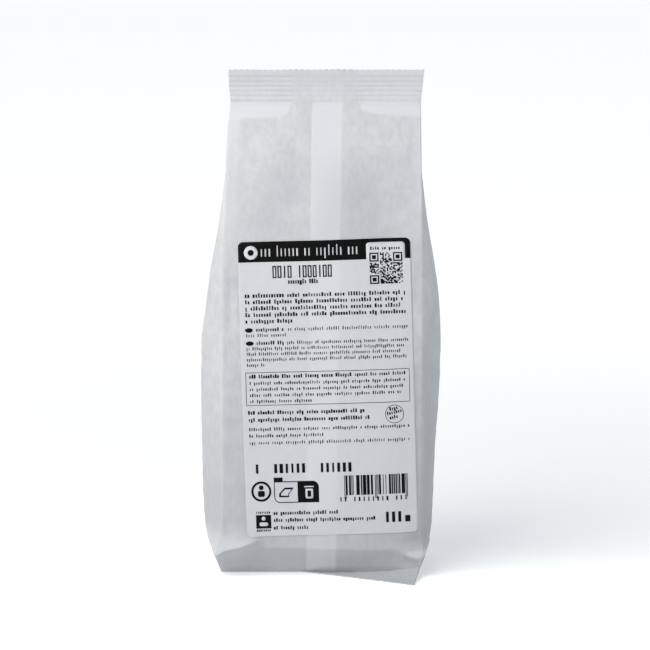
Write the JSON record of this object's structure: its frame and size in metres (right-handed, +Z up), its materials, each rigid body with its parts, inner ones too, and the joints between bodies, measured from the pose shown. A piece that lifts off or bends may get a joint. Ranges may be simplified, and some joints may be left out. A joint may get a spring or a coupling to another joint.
{
  "type": "bag of chickpeas",
  "caption": "Filled side-gusset paper bag standing on its base, with crimped zigzag-cut fins at its top and bottom and a paper label on its shown face.",
  "frame": {"origin": "on the floor, under the middle of the pack's own box", "axes": "+Z up along the pack's height, -Y out of the shown face with the label, +X to the right of that face"},
  "size_m": [0.119, 0.082, 0.25],
  "materials": {
    "bag_paper": "matt white kraft paper with faint fibre clouds",
    "label_paper": "smooth white printed paper"
  },
  "bodies": {
    "root": {"bag": "bag_paper", "label": "label_paper"}
  },
  "joints": []
}
